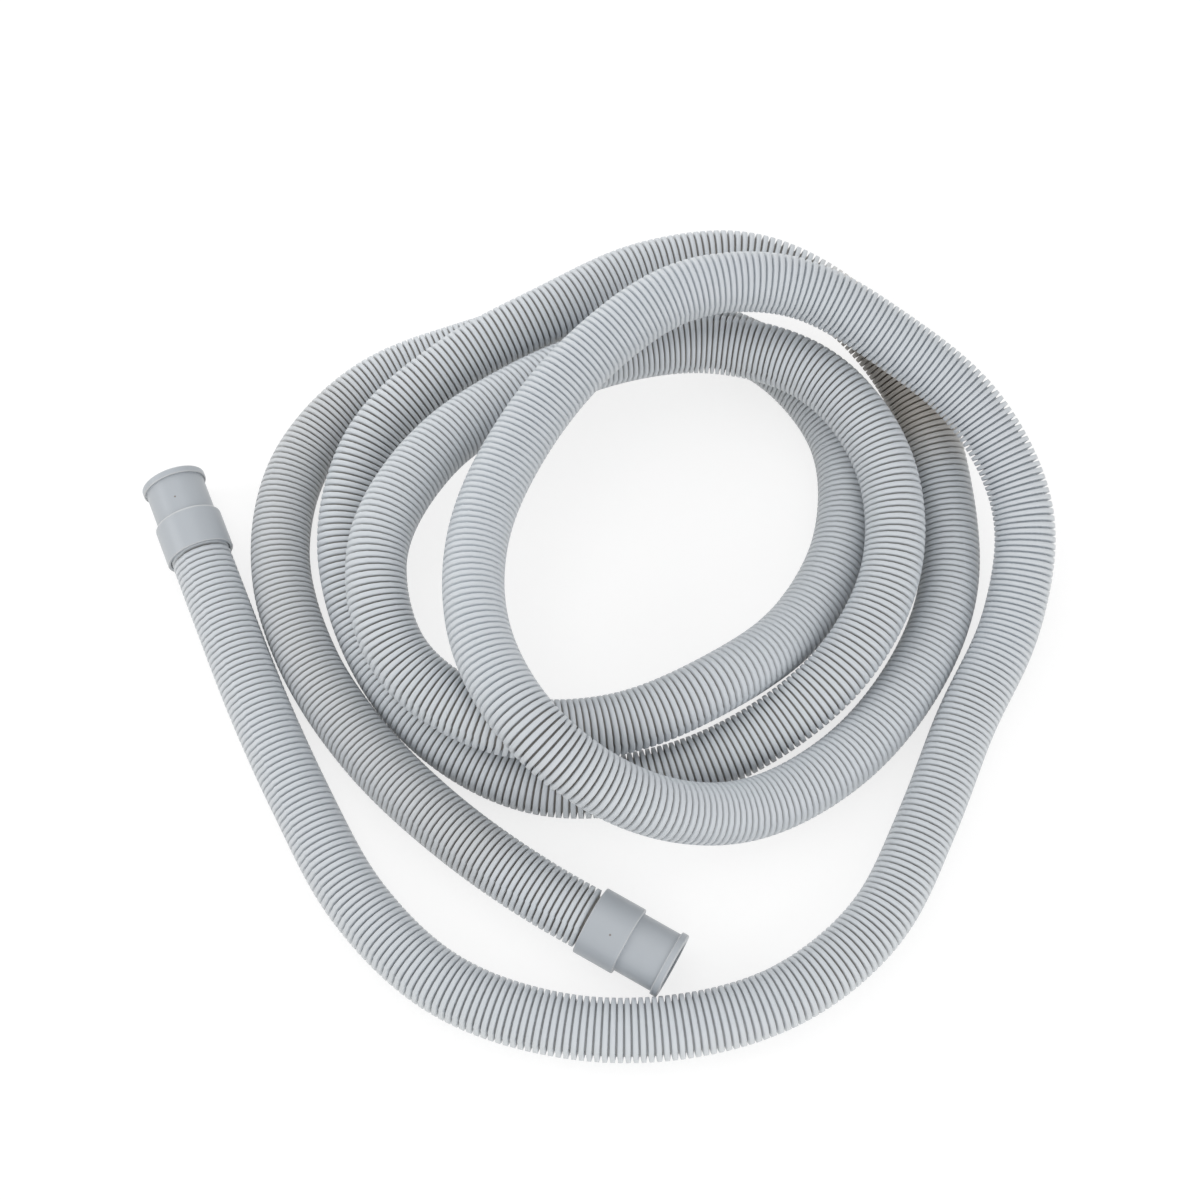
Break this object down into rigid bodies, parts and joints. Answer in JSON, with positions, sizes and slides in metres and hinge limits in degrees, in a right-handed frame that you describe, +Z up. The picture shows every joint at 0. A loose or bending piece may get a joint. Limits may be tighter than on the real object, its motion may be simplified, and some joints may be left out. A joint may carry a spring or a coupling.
{
  "type": "washing machine drain hose",
  "caption": "Long corrugated drain hose lying in a loose coil, with a moulded push-on cuff at each end for the pump and the waste pipe.",
  "frame": {"origin": "the middle of the coil's box, on the surface that the coil lies on", "axes": "+Z up from that surface, +X along the coil's longer side and to the right as the coil is seen with its open end cuffs at the left and the front, +Y towards the back of the coil"},
  "size_m": [0.4135, 0.3803, 0.0911],
  "materials": {
    "hose_plastic": "satin",
    "cuff_rubber": "satin"
  },
  "bodies": {
    "root": {"hose": "hose_plastic", "drain_end_cuff": "cuff_rubber", "pump_end_cuff": "cuff_rubber"}
  },
  "joints": []
}
